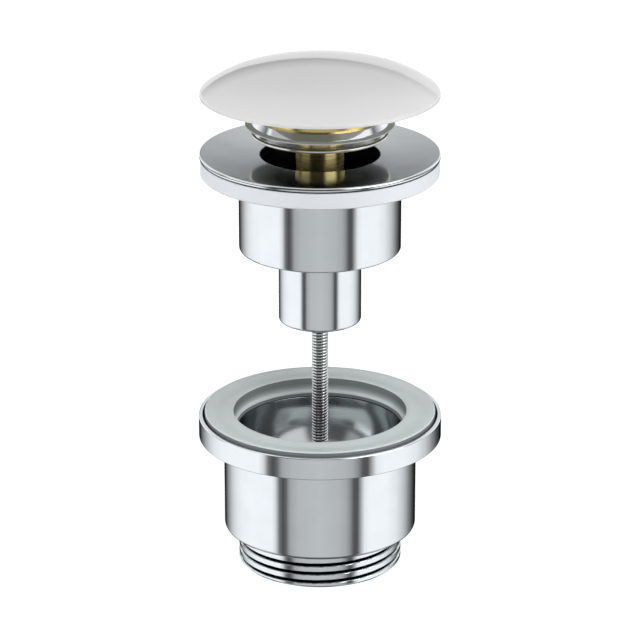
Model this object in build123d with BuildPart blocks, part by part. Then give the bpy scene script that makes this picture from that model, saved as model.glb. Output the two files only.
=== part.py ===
from build123d import *
import os
from math import cos, radians, sin

# Pop up basin waste: a click plug with a ceramic cap, a chromed insert that goes
# through the basin, and a chromed body below it, drawn together by one long screw.
# Millimetres, +Z up, axis on Z, origin at the centre of the tail's end face.
# The model stands in the state shown: plug open, body let down on its screw.

# Tail and body
tail_thread_d = 41.91
tail_length = 9.4
tail_wall = 3.955
tail_chamfer = 0.6
tail_relief_depth = 1.3
tail_relief_width = 0.9
cup_d = 49.3
cup_wall = 3.6
cup_edge_radius = 0.9
cup_height = 24.75
bowl_lead = 2.0
bowl_depth = 11.4
lower_flange_d = 62.1
lower_flange_height = 5.75
lower_rim_wall = 1.05
lower_recess_depth = 3.9
bore_chamfer = 0.35
edge_break = 0.3

# Bridge inside the tail and its brass bush, which takes the long screw
bridge_arms = 3
bridge_arm_width = 3.2
bridge_arm_height = 6.5
bridge_bottom = 4.5
bridge_hub_wall = 2.0
bridge_hub_height = 10.5
bush_wall = 1.9
bush_collar_reach = 1.0
bush_collar_height = 1.0

# Basin gasket under the basin
basin_gasket_rim_gap = 0.5
basin_gasket_lip_inset = 0.35
basin_gasket_cove = 0.55
basin_gasket_height = 5.0
basin_gasket_lip_height = 1.6
basin_gasket_dish = 0.25
basin_gasket_dish_width = 3.3

# Insert: flange, barrel and their gasket
clamp_gap = 63.25
flange_gasket_inset = 0.2
flange_gasket_height = 4.15
top_flange_d = 60.1
top_flange_rim = 1.35
top_flange_dish = 0.6
top_flange_land = 0.9
throat_d = 29.9
throat_lip = 1.6
skirt_wall = 1.9
skirt_length = 7.0
barrel_d = 40.7
barrel_wall = 2.0
barrel_depth = 23.7
barrel_floor = 2.6
barrel_edge_radius = 0.5
window_count = 6
window_rib_width = 3.2
hub_wall = 2.1
hub_height = 9.3

# Cartridge sleeve, which holds the click mechanism and the screw's head
sleeve_d = 20.84
sleeve_drop = 19.35
sleeve_floor = 2.6
sleeve_edge_radius = 0.8
sleeve_shoulder_inset = 0.37
sleeve_shoulder_height = 1.5
sleeve_wall = 2.02
ring_step = 0.8

# Long clamp screw with its washer and seal
screw_d = 4.2
screw_length = 60.0
screw_head_d = 7.4
screw_head_height = 3.5
screw_socket = 3.0
screw_socket_depth = 2.2
screw_chamfer = 0.6
screw_hole_gap = 0.25
screw_seal_d = 11.0
screw_seal_height = 1.0
screw_washer_height = 0.8

# Click mechanism
click_travel = 4.8
click_turn = 45.0
spring_bore_gap = 0.5
spring_wire_d = 1.1
spring_turns = 3.5
spring_rest_length = 13.65
spring_cup_gap = 0.3
spring_cup_height = 1.0
spring_spigot_d = 5.9
spring_spigot_height = 3.6
index_pin_d = 1.8
index_ring_end_wall = 1.0
index_slots = 2
guide_height = 6.0
circlip_height = 0.8
circlip_depth = 0.4
circlip_reach = 1.5
circlip_gap = 34.0
sleeve_lip = 0.9

# Plug
stem_d = 12.0
stem_flat_depth = 1.0
stem_bore_depth = 4.2
spigot_d = 8.0
spigot_above_disc = 3.6
seat_clearance = 0.25
seat_washer_inset = 0.3
seat_washer_height = 0.43
seat_washer_cone = 1.5
seat_washer_rim = 0.12
lower_disc_d = 34.4
lower_disc_height = 0.67
lower_disc_bevel = 0.25
plug_gap = 2.07
plate_top_d = 30.7
plate_cone_reach = 2.1
plate_cone_height = 1.22
plate_wall = 0.7
plate_rim_height = 0.45
seal_reach = 1.025
seal_drop = 0.26
seal_lip = 0.15
seal_foot = 0.5
seal_foot_width = 1.3
backing_disc_height = 2.65
backing_boss_wall = 2.5
backing_boss_height = 2.5

# Ceramic cap
cap_d = 59.64
cap_rim_radius = 0.72
cap_rim_lift = 6.28
cap_dome_height = 7.8
cap_crown_reach = 20.0
cap_crown_drop = 2.7
cap_shoulder_inset = 0.45
cap_shoulder_lift = 0.55
cap_recess_depth = 1.0
cap_ledge = 2.55
cap_hollow_height = 5.4

# Clearances
running_clearance = 0.05
sliding_clearance = 0.03
loose_clearance = 0.1
open_clearance = 0.25

# Levels, worked out from the tail's end upwards
cup_bottom = tail_length
lower_flange_bottom = cup_bottom + cup_height
lower_rim_top = lower_flange_bottom + lower_flange_height
recess_floor = lower_rim_top - lower_recess_depth
basin_gasket_top = recess_floor + basin_gasket_height
bridge_hub_top = bridge_bottom + bridge_hub_height

flange_gasket_bottom = basin_gasket_top + clamp_gap
flange_seat = flange_gasket_bottom + flange_gasket_height
flange_rim_top = flange_seat + top_flange_rim
throat_edge = flange_rim_top - top_flange_dish
barrel_bottom = flange_seat - barrel_depth
hub_top = barrel_bottom + hub_height

sleeve_bottom = barrel_bottom - sleeve_drop
sleeve_floor_top = sleeve_bottom + sleeve_floor
screw_washer_bottom = sleeve_floor_top + screw_seal_height
screw_seat = screw_washer_bottom + screw_washer_height
screw_end = screw_seat - screw_length

spring_top = screw_seat + spring_rest_length
stem_bottom = spring_top + spring_cup_height
ring_seat = stem_bottom + open_clearance * 2
pin_low = ring_seat + index_ring_end_wall + index_pin_d / 2 + loose_clearance
pin_height = pin_low + click_travel
ring_top = pin_height + index_pin_d / 2 + loose_clearance + index_ring_end_wall
guide_bottom = ring_top + loose_clearance
guide_top = guide_bottom + guide_height
circlip_top = guide_top + circlip_height
sleeve_top = circlip_top + sleeve_lip

seat_washer_bottom = throat_edge + click_travel + seat_clearance
stem_shoulder = seat_washer_bottom
lower_disc_bottom = seat_washer_bottom + seat_washer_height
lower_disc_top = lower_disc_bottom + lower_disc_height
seal_edge = lower_disc_top + plug_gap
plate_rim_top = seal_edge + seal_drop
plate_top = plate_rim_top + plate_cone_height
plate_rim_bottom = plate_rim_top - plate_rim_height
backing_top = plate_top + backing_disc_height
spigot_top = plate_top + spigot_above_disc
cap_widest = plate_top + cap_rim_lift
cap_top = cap_widest + cap_dome_height

# Radii that several pieces share
tail_bore_r = tail_thread_d / 2 - tail_wall
cup_bore_r = cup_d / 2 - cup_wall
recess_r = lower_flange_d / 2 - lower_rim_wall
bush_r = screw_d / 2 + bush_wall
bridge_hub_r = bush_r + bridge_hub_wall
gasket_r = recess_r - basin_gasket_rim_gap
gasket_lip_r = cup_bore_r + basin_gasket_lip_inset
gasket_bore_r = gasket_lip_r + basin_gasket_cove
flange_r = top_flange_d / 2
barrel_bore_r = barrel_d / 2 - barrel_wall
skirt_r = barrel_bore_r - running_clearance
sleeve_r = sleeve_d / 2
hub_r = sleeve_r + running_clearance + hub_wall
ring_bore_r = sleeve_r - sleeve_wall
spring_bore_r = ring_bore_r - ring_step
spring_mean_r = spring_bore_r - spring_bore_gap - spring_wire_d / 2
screw_hole_r = screw_d / 2 + screw_hole_gap
stem_r = stem_d / 2
spigot_r = spigot_d / 2
spigot_hole_r = spigot_r + running_clearance
ring_r = ring_bore_r - loose_clearance
ring_hole_r = stem_r + 2 * loose_clearance
lower_disc_r = lower_disc_d / 2
plate_top_r = plate_top_d / 2
plate_rim_r = plate_top_r + plate_cone_reach
seal_r = plate_rim_r + seal_reach

os.makedirs("parts", exist_ok=True)


def save(piece, name):
    piece.part.label = name
    export_step(piece.part, f"parts/{name}.step")


def rims(piece, radius):
    """Return the circular edges of the given radius, lowest first."""
    round_edges = piece.edges().filter_by(GeomType.CIRCLE)
    return round_edges.filter_by(lambda edge: abs(edge.radius - radius) < 0.01).sort_by(Axis.Z)


# Body: tail, cup and recessed flange turned in one piece; the cup's bore closes in a bowl
# to the tail's bore, and a three-armed bridge stands in the tail
with BuildPart() as waste_body:
    with BuildSketch(Plane.XZ):
        with BuildLine():
            tail_r = tail_thread_d / 2
            relief_r = tail_r - tail_relief_depth
            relief_bottom = cup_bottom - tail_relief_width
            bowl_top = recess_floor - bowl_lead
            bowl = TangentArc(
                (cup_bore_r, bowl_top),
                (tail_bore_r, bowl_top - bowl_depth),
                tangent=(0, -1),
            )
            Polyline(
                bowl @ 1,
                (tail_bore_r, 0),
                (tail_r - tail_chamfer, 0),
                (tail_r, tail_chamfer),
                (tail_r, relief_bottom - tail_relief_depth / 2),
                (relief_r, relief_bottom),
                (relief_r, cup_bottom),
                (cup_d / 2, cup_bottom),
                (cup_d / 2, lower_flange_bottom),
                (lower_flange_d / 2, lower_flange_bottom),
                (lower_flange_d / 2, lower_rim_top),
                (recess_r, lower_rim_top),
                (recess_r, recess_floor),
                (cup_bore_r, recess_floor),
                bowl @ 0,
            )
        make_face()
    revolve(axis=Axis.Z)
    fillet(rims(waste_body, cup_d / 2)[0], radius=cup_edge_radius)
    chamfer(rims(waste_body, lower_flange_d / 2), length=edge_break)
    chamfer(rims(waste_body, cup_bore_r)[-1], length=bore_chamfer)
    with BuildSketch(Plane.XY.offset(bridge_bottom)):
        arm_reach = tail_bore_r + tail_relief_depth / 2
        with PolarLocations(arm_reach / 2, bridge_arms, start_angle=90):
            Rectangle(arm_reach, bridge_arm_width)
    extrude(amount=bridge_arm_height)
    with BuildSketch(Plane.XY.offset(bridge_bottom)):
        Circle(bridge_hub_r)
    extrude(amount=bridge_hub_height)
    with BuildSketch(Plane.XY.offset(bridge_bottom)):
        Circle(bush_r + sliding_clearance)
    extrude(amount=bridge_hub_height, mode=Mode.SUBTRACT)
save(waste_body, "waste_body")

# Brass bush in the bridge hub, tapped for the long screw, with a collar on the hub
with BuildPart() as anchor_bush:
    with BuildSketch(Plane.XY.offset(bridge_bottom)):
        Circle(bush_r)
    extrude(amount=bridge_hub_height)
    with BuildSketch(Plane.XY.offset(bridge_hub_top)):
        RegularPolygon(bush_r + bush_collar_reach, 6)
    extrude(amount=bush_collar_height)
    with BuildSketch(Plane.XY.offset(bridge_bottom)):
        Circle(screw_d / 2 + running_clearance)
    extrude(amount=bridge_hub_height + bush_collar_height, mode=Mode.SUBTRACT)
save(anchor_bush, "anchor_bush")

# Basin gasket: dished top, straight bore that sweeps in to a thin lip at its foot
with BuildPart() as basin_gasket:
    with BuildSketch(Plane.XZ):
        with BuildLine():
            lip_top = recess_floor + basin_gasket_lip_height
            cove_top = recess_floor + basin_gasket_height / 2
            Polyline(
                (gasket_lip_r, lip_top),
                (gasket_lip_r, recess_floor),
                (gasket_r, recess_floor),
                (gasket_r, basin_gasket_top - edge_break),
                (gasket_r - edge_break, basin_gasket_top),
                (gasket_bore_r + basin_gasket_dish_width, basin_gasket_top),
                (gasket_bore_r, basin_gasket_top - basin_gasket_dish),
                (gasket_bore_r, cove_top),
            )
            ThreePointArc(
                (gasket_bore_r, cove_top),
                (gasket_bore_r - basin_gasket_cove / 3, (cove_top + lip_top) / 2),
                (gasket_lip_r, lip_top),
            )
        make_face()
    revolve(axis=Axis.Z)
save(basin_gasket, "basin_gasket")

# Flange gasket between the insert's flange and the basin
with BuildPart() as flange_gasket:
    with BuildSketch(Plane.XY.offset(flange_gasket_bottom)):
        Circle(flange_r - flange_gasket_inset)
        Circle(barrel_d / 2 + open_clearance, mode=Mode.SUBTRACT)
    extrude(amount=flange_gasket_height)
    chamfer(rims(flange_gasket, flange_r - flange_gasket_inset), length=edge_break)
save(flange_gasket, "flange_gasket")

# Top flange: dished face, broken rim, throat, and a skirt that goes into the barrel
with BuildPart() as top_flange:
    with BuildSketch(Plane.XZ):
        with BuildLine():
            throat_r = throat_d / 2
            skirt_bore_r = skirt_r - skirt_wall
            lip_bottom = throat_edge - throat_lip
            skirt_bottom = flange_seat - skirt_length
            Polyline(
                (throat_r, lip_bottom),
                (throat_r, throat_edge),
                (flange_r - top_flange_land, flange_rim_top),
                (flange_r, flange_rim_top),
                (flange_r, flange_seat),
                (skirt_r, flange_seat),
                (skirt_r, skirt_bottom),
                (skirt_bore_r, skirt_bottom),
                (skirt_bore_r, lip_bottom - (skirt_bore_r - throat_r)),
                close=True,
            )
        make_face()
    revolve(axis=Axis.Z)
    chamfer(rims(top_flange, flange_r), length=edge_break)
save(top_flange, "top_flange")

# Barrel: open cup with a windowed floor and a hub for the cartridge sleeve
with BuildPart() as barrel_cup:
    with BuildSketch(Plane.XY.offset(barrel_bottom)):
        Circle(barrel_d / 2)
    extrude(amount=barrel_depth)
    with BuildSketch(Plane.XY.offset(barrel_bottom + barrel_floor)):
        Circle(barrel_bore_r)
    extrude(amount=barrel_depth - barrel_floor, mode=Mode.SUBTRACT)
    fillet(rims(barrel_cup, barrel_d / 2)[0], radius=barrel_edge_radius)
    with BuildSketch(Plane.XY.offset(barrel_bottom)):
        Circle(hub_r)
    extrude(amount=hub_height)
    with BuildSketch(Plane.XY.offset(barrel_bottom)):
        Circle(barrel_bore_r)
        Circle(hub_r, mode=Mode.SUBTRACT)
        with PolarLocations(barrel_d / 4, window_count, start_angle=180 / window_count):
            Rectangle(barrel_d / 2, window_rib_width, mode=Mode.SUBTRACT)
    extrude(amount=barrel_floor, mode=Mode.SUBTRACT)
    with BuildSketch(Plane.XY.offset(barrel_bottom)):
        Circle(sleeve_r + running_clearance)
    extrude(amount=hub_height, mode=Mode.SUBTRACT)
save(barrel_cup, "barrel_cup")

# Cartridge sleeve: floor for the screw, spring bore, wider ring bore, shoulder, groove
with BuildPart() as cartridge_sleeve:
    with BuildSketch(Plane.XZ):
        with BuildLine():
            shoulder_r = hub_r - sleeve_shoulder_inset
            Polyline(
                (screw_hole_r, sleeve_bottom),
                (sleeve_r, sleeve_bottom),
                (sleeve_r, hub_top),
                (shoulder_r, hub_top),
                (shoulder_r, hub_top + sleeve_shoulder_height),
                (sleeve_r, hub_top + sleeve_shoulder_height),
                (sleeve_r, sleeve_top),
                (ring_bore_r, sleeve_top),
                (ring_bore_r, circlip_top),
                (ring_bore_r + circlip_depth, circlip_top),
                (ring_bore_r + circlip_depth, guide_top),
                (ring_bore_r, guide_top),
                (ring_bore_r, ring_seat),
                (spring_bore_r, ring_seat),
                (spring_bore_r, sleeve_floor_top),
                (screw_hole_r, sleeve_floor_top),
                close=True,
            )
        make_face()
    revolve(axis=Axis.Z)
    fillet(rims(cartridge_sleeve, sleeve_r)[0], radius=sleeve_edge_radius)
save(cartridge_sleeve, "cartridge_sleeve")

# Rubber seal and steel washer under the screw's head
with BuildPart() as screw_seal:
    with BuildSketch(Plane.XY.offset(sleeve_floor_top)):
        Circle(screw_seal_d / 2)
        Circle(screw_d / 2 + loose_clearance, mode=Mode.SUBTRACT)
    extrude(amount=screw_seal_height)
save(screw_seal, "screw_seal")

with BuildPart() as screw_washer:
    with BuildSketch(Plane.XY.offset(screw_washer_bottom)):
        Circle(spring_bore_r - open_clearance)
        Circle(screw_hole_r, mode=Mode.SUBTRACT)
    extrude(amount=screw_washer_height)
save(screw_washer, "screw_washer")

# Clamp screw: socket head in the sleeve, shank down to the bush in the bridge
with BuildPart() as clamp_screw:
    with BuildSketch(Plane.XY.offset(screw_end)):
        Circle(screw_d / 2)
    extrude(amount=screw_length)
    chamfer(rims(clamp_screw, screw_d / 2)[0], length=screw_chamfer)
    with BuildSketch(Plane.XY.offset(screw_seat)):
        Circle(screw_head_d / 2)
    extrude(amount=screw_head_height)
    chamfer(rims(clamp_screw, screw_head_d / 2)[-1], length=edge_break)
    with BuildSketch(Plane.XY.offset(screw_seat + screw_head_height)):
        RegularPolygon(screw_socket / 2, 6, major_radius=False)
    extrude(amount=-screw_socket_depth, mode=Mode.SUBTRACT)
save(clamp_screw, "clamp_screw")

# Click spring: open coil, ground flat where it meets the washer and the spring cup
with BuildPart() as click_spring:
    coil_inset = spring_wire_d / 4
    coil_height = spring_rest_length - 2 * coil_inset
    with BuildLine(Plane.XY.offset(screw_seat + coil_inset)) as coil:
        Helix(pitch=coil_height / spring_turns, height=coil_height, radius=spring_mean_r)
    with BuildSketch(Plane(origin=coil.wire() @ 0, z_dir=coil.wire() % 0)):
        Circle(spring_wire_d / 2)
    sweep(path=coil.wire(), is_frenet=True)
    with BuildSketch(Plane.XY.offset(screw_seat)):
        Circle(spring_bore_r)
    extrude(amount=spring_rest_length, mode=Mode.INTERSECT)
save(click_spring, "click_spring")

# Spring cup: flange on the spring, spigot up in the stem's bore
with BuildPart() as spring_cup:
    with BuildSketch(Plane.XY.offset(spring_top)):
        Circle(spring_bore_r - spring_cup_gap)
    extrude(amount=spring_cup_height)
    with BuildSketch(Plane.XY.offset(stem_bottom)):
        Circle(spring_spigot_d / 2)
    extrude(amount=spring_spigot_height)
    chamfer(rims(spring_cup, spring_spigot_d / 2)[-1], length=edge_break)
save(spring_cup, "spring_cup")

# Plug stem: round above, flats where the guide holds it, bore and cross hole below
with BuildPart() as plug_stem:
    with BuildSketch(Plane.XY.offset(stem_bottom)):
        Circle(stem_r)
    extrude(amount=stem_shoulder - stem_bottom)
    chamfer(rims(plug_stem, stem_r)[0], length=edge_break)
    with BuildSketch(Plane.XY.offset(guide_bottom - open_clearance)):
        Circle(stem_d)
        Rectangle(stem_d * 2, stem_d - 2 * stem_flat_depth, mode=Mode.SUBTRACT)
    flats_top = guide_top + click_travel + open_clearance
    extrude(amount=flats_top - guide_bottom + open_clearance, mode=Mode.SUBTRACT)
    with BuildSketch(Plane.XY.offset(stem_shoulder)):
        Circle(spigot_r)
    extrude(amount=spigot_top - stem_shoulder)
    chamfer(rims(plug_stem, spigot_r)[-1], length=edge_break)
    with BuildSketch(Plane.XY.offset(stem_bottom)):
        Circle(spring_spigot_d / 2 + running_clearance)
    extrude(amount=stem_bore_depth, mode=Mode.SUBTRACT)
    with BuildSketch(Plane.YZ):
        with Locations((0, pin_height)):
            Circle(index_pin_d / 2 + sliding_clearance)
    extrude(amount=stem_d, both=True, mode=Mode.SUBTRACT)
save(plug_stem, "plug_stem")

# Index pin: across the stem, its ends in the index ring's slots
with BuildPart() as index_pin:
    with BuildSketch(Plane.YZ):
        with Locations((0, pin_height)):
            Circle(index_pin_d / 2)
    extrude(amount=ring_r - loose_clearance, both=True)
    chamfer(rims(index_pin, index_pin_d / 2), length=edge_break)
save(index_pin, "index_pin")

# Index ring: two helical slots turn it by the click angle over the plug's travel
with BuildPart() as index_ring:
    with BuildSketch(Plane.XY.offset(ring_seat)):
        Circle(ring_r)
        Circle(ring_hole_r, mode=Mode.SUBTRACT)
    extrude(amount=ring_top - ring_seat)
    slot_path_r = (ring_r + ring_hole_r) / 2
    slot_width = index_pin_d + 2 * loose_clearance
    slot_pitch = click_travel * 360 / click_turn
    for slot in range(index_slots):
        slot_start = slot * 360 / index_slots - click_turn
        with BuildLine(Plane.XY.offset(pin_low)) as slot_line:
            Helix(pitch=slot_pitch, height=click_travel, radius=slot_path_r)
        slot_path = slot_line.wire().rotate(Axis.Z, slot_start)
        radial = Vector(cos(radians(slot_start)), sin(radians(slot_start)), 0)
        with BuildSketch(Plane(origin=slot_path @ 0, x_dir=radial, z_dir=slot_path % 0)):
            Rectangle((ring_r - ring_hole_r) * 2, slot_width)
        sweep(path=slot_path, is_frenet=True, mode=Mode.SUBTRACT)
        for end_angle, end_height in ((slot_start, pin_low), (slot_start + click_turn, pin_height)):
            outward = Vector(cos(radians(end_angle)), sin(radians(end_angle)), 0)
            with BuildSketch(Plane(origin=(0, 0, end_height), z_dir=outward)):
                Circle(slot_width / 2)
            extrude(amount=ring_r * 2, mode=Mode.SUBTRACT)
save(index_ring, "index_ring")

# Stem guide: bush with a double-D bore, and the circlip that keeps it in the sleeve
with BuildPart() as stem_guide:
    with BuildSketch(Plane.XY.offset(guide_bottom)):
        Circle(ring_bore_r - running_clearance)
        with BuildSketch(mode=Mode.PRIVATE) as guide_bore:
            Circle(stem_r + running_clearance)
            Rectangle(stem_d * 2, stem_d - 2 * stem_flat_depth + 2 * running_clearance, mode=Mode.INTERSECT)
        add(guide_bore.sketch, mode=Mode.SUBTRACT)
    extrude(amount=guide_height)
save(stem_guide, "stem_guide")

with BuildPart() as guide_circlip:
    with BuildSketch(Plane.XY.offset(guide_top)):
        Circle(ring_bore_r + circlip_depth - running_clearance)
        Circle(ring_bore_r - circlip_reach, mode=Mode.SUBTRACT)
        with BuildLine():
            gap_half = radians(circlip_gap / 2)
            gap_far = ring_bore_r * 2
            Polyline(
                (0, 0),
                (gap_far * sin(-gap_half), gap_far * cos(gap_half)),
                (gap_far * sin(gap_half), gap_far * cos(gap_half)),
                close=True,
            )
        make_face(mode=Mode.SUBTRACT)
    extrude(amount=circlip_height)
save(guide_circlip, "guide_circlip")

# Seat washer: brass, hollow cone below, just above the throat when the plug is shut
with BuildPart() as seat_washer:
    with BuildSketch(Plane.XZ):
        with BuildLine():
            washer_r = lower_disc_r - seat_washer_inset
            Polyline(
                (spigot_hole_r, seat_washer_bottom),
                (washer_r - seat_washer_cone, seat_washer_bottom),
                (washer_r, lower_disc_bottom - seat_washer_rim),
                (washer_r, lower_disc_bottom),
                (spigot_hole_r, lower_disc_bottom),
                close=True,
            )
        make_face()
    revolve(axis=Axis.Z)
save(seat_washer, "seat_washer")

# Lower disc: thin chromed disc with a bevelled upper edge
with BuildPart() as lower_disc:
    with BuildSketch(Plane.XY.offset(lower_disc_bottom)):
        Circle(lower_disc_r)
        Circle(spigot_hole_r, mode=Mode.SUBTRACT)
    extrude(amount=lower_disc_height)
    chamfer(rims(lower_disc, lower_disc_r), length=lower_disc_bevel)
save(lower_disc, "lower_disc")

# Spacer collar: brass neck between the lower disc and the plug plate
with BuildPart() as spacer_collar:
    with BuildSketch(Plane.XY.offset(lower_disc_top)):
        Circle(stem_r)
        Circle(spigot_hole_r, mode=Mode.SUBTRACT)
    extrude(amount=plate_top - plate_wall - lower_disc_top)
save(spacer_collar, "spacer_collar")

# Plug plate: thin pressed dish, open below, with a straight rim for the seal
with BuildPart() as plug_plate:
    with BuildSketch(Plane.XZ):
        with BuildLine():
            cone_inner_r = plate_top_r - plate_wall / 2
            rim_inner_r = plate_rim_r - plate_wall
            Polyline(
                (spigot_hole_r, plate_top),
                (plate_top_r, plate_top),
                (plate_rim_r, plate_rim_top),
                (plate_rim_r, plate_rim_bottom),
                (rim_inner_r, plate_rim_bottom),
                (rim_inner_r, plate_rim_top - plate_wall / 2),
                (cone_inner_r, plate_top - plate_wall),
                (spigot_hole_r, plate_top - plate_wall),
                close=True,
            )
        make_face()
    revolve(axis=Axis.Z)
save(plug_plate, "plug_plate")

# Plug seal: soft lip around the plate's rim, with a foot turned in under it
with BuildPart() as plug_seal:
    with BuildSketch(Plane.XZ):
        with BuildLine():
            Polyline(
                (plate_rim_r, plate_rim_top),
                (seal_r, seal_edge),
                (seal_r, seal_edge - seal_lip),
                (plate_rim_r, plate_rim_bottom - seal_foot),
                (plate_rim_r - seal_foot_width, plate_rim_bottom - seal_foot),
                (plate_rim_r - seal_foot_width, plate_rim_bottom),
                (plate_rim_r, plate_rim_bottom),
                close=True,
            )
        make_face()
    revolve(axis=Axis.Z)
save(plug_seal, "plug_seal")

# Backing disc: brass, bonded in the cap's recess and tapped for the stem's spigot
with BuildPart() as backing_disc:
    with BuildSketch(Plane.XY.offset(plate_top)):
        Circle(plate_top_r)
    extrude(amount=backing_disc_height)
    with BuildSketch(Plane.XY.offset(backing_top)):
        Circle(spigot_hole_r + backing_boss_wall)
    extrude(amount=backing_boss_height)
    with BuildSketch(Plane.XY.offset(plate_top)):
        Circle(spigot_hole_r)
    extrude(amount=spigot_above_disc + running_clearance, mode=Mode.SUBTRACT)
save(backing_disc, "backing_disc")

# Ceramic cap: domed above, shallow cone below, recess and hollow for the backing disc
with BuildPart() as ceramic_cap:
    with BuildSketch(Plane.XZ):
        with BuildLine():
            cap_r = cap_d / 2
            recess_top = backing_top
            recess_edge_r = plate_top_r + loose_clearance
            rim_under_r = cap_r - cap_rim_radius
            rim_under_z = cap_widest - cap_rim_radius
            shoulder_r = cap_r - cap_shoulder_inset
            crown = ThreePointArc(
                (0, cap_top),
                (cap_crown_reach / 2, cap_top - cap_crown_drop / 4),
                (cap_crown_reach, cap_top - cap_crown_drop),
            )
            shoulder = TangentArc(
                crown @ 1,
                (shoulder_r, cap_widest + cap_shoulder_lift),
                tangent=crown % 1,
            )
            rim = ThreePointArc(
                shoulder @ 1,
                (cap_r, cap_widest),
                (rim_under_r, rim_under_z),
            )
            Polyline(
                rim @ 1,
                (recess_edge_r, recess_top - cap_recess_depth),
                (recess_edge_r, recess_top),
                (recess_edge_r - cap_ledge, recess_top),
                (recess_edge_r - cap_ledge, recess_top + cap_hollow_height),
                (0, recess_top + cap_hollow_height),
                (0, cap_top),
            )
        make_face()
    revolve(axis=Axis.Z)
save(ceramic_cap, "ceramic_cap")
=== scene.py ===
from math import acos, asin, cos, pi, radians, sin, tan

import bpy
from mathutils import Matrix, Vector


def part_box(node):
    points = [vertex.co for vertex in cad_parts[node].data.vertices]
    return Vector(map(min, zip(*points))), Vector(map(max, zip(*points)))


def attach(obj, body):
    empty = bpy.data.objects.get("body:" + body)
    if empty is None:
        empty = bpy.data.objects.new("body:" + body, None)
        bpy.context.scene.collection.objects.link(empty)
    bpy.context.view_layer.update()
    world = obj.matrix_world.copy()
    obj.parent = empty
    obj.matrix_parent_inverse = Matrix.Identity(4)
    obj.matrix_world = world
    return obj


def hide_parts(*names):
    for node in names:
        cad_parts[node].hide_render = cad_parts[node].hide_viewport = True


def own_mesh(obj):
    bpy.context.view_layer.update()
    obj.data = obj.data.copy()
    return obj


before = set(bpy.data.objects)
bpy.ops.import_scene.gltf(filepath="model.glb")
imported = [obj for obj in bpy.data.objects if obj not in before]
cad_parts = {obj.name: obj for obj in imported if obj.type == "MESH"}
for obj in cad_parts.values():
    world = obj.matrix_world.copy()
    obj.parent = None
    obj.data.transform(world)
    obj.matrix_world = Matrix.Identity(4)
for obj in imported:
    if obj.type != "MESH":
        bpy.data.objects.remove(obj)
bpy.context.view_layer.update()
scene = bpy.context.scene
scene.view_settings.view_transform = "Standard"

# Sizes are in millimetres and heights run up from the tail's end face, as in the CAD source
MM = 0.001
# Room for rounding when a height or radius is compared
NEAR = 0.01


def node_radius(node):
    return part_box(node)[1].x / MM


def node_bottom(node):
    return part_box(node)[0].z / MM


def node_top(node):
    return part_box(node)[1].z / MM


# Camera: the photograph's distance, tilt and field of view, aimed at the middle of its frame
SENSOR_WIDTH = 36.0
CAMERA_LENS = 177.48
CAMERA_DISTANCE = 800.0
CAMERA_TILT = radians(20.38)
CAMERA_CLIP = (0.05, 20.0)
AIM = Vector((0.0, 0.0, 65.03))


def make_camera():
    data = bpy.data.cameras.new("camera")
    data.sensor_width = SENSOR_WIDTH
    data.lens = CAMERA_LENS
    data.clip_start, data.clip_end = CAMERA_CLIP
    camera = bpy.data.objects.new("camera", data)
    scene.collection.objects.link(camera)
    back = Vector((0.0, -cos(CAMERA_TILT), sin(CAMERA_TILT)))
    camera.location = (AIM + back * CAMERA_DISTANCE) * MM
    camera.rotation_euler = (-back).to_track_quat("-Z", "Y").to_euler()
    scene.camera = camera


WHITE = (1.0, 1.0, 1.0, 1.0)
# A Mix node's inputs for its factor and its two colours, and its output for colour
MIX_INPUTS = (0, 6, 7)
MIX_OUTPUT = 2


class Nodes:
    """Builds a node tree: each method adds a node, links its inputs and returns its output."""

    def __init__(self, tree):
        self.tree = tree
        tree.nodes.clear()

    def add(self, kind, inputs=None, output=0, **settings):
        node = self.tree.nodes.new(kind)
        for name, value in settings.items():
            setattr(node, name, value)
        for name, value in (inputs or {}).items():
            self.feed(node.inputs[name], value)
        return node.outputs[output]

    def feed(self, socket, value):
        if isinstance(value, bpy.types.NodeSocket):
            self.tree.links.new(value, socket)
        else:
            socket.default_value = value

    def math(self, operation, first, second=0.0):
        return self.add("ShaderNodeMath", {0: first, 1: second}, operation=operation)

    def between(self, value, low, high, to_low=0.0, to_high=1.0):
        return self.add(
            "ShaderNodeMapRange",
            {"Value": value, "From Min": low, "From Max": high, "To Min": to_low, "To Max": to_high},
        )

    def mix_colour(self, factor, first, second):
        node = self.tree.nodes.new("ShaderNodeMix")
        node.data_type = "RGBA"
        for socket, value in zip(MIX_INPUTS, (factor, first, second)):
            self.feed(node.inputs[socket], value)
        return node.outputs[MIX_OUTPUT]

    def times(self, first, second):
        return self.add("ShaderNodeVectorMath", {0: first, 1: second}, operation="MULTIPLY")

    def ramp(self, factor, stops, interpolation="LINEAR"):
        """Colour ramp; a stop is (place, colour), where the colour may be one grey level."""
        node = self.tree.nodes.new("ShaderNodeValToRGB")
        node.color_ramp.interpolation = interpolation
        elements = node.color_ramp.elements
        elements.remove(elements[1])
        for index, (place, colour) in enumerate(stops):
            element = elements[0] if index == 0 else elements.new(place)
            element.position = place
            element.color = colour if isinstance(colour, tuple) else (colour, colour, colour, 1.0)
        self.tree.links.new(factor, node.inputs["Fac"])
        return node.outputs["Color"]

    def noise(self, place, scale, detail):
        return self.add("ShaderNodeTexNoise", {"Vector": place, "Scale": scale, "Detail": detail})

    def bump(self, height, distance):
        inputs = {"Strength": 1.0, "Distance": distance * MM, "Height": height}
        return self.add("ShaderNodeBump", inputs)


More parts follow.
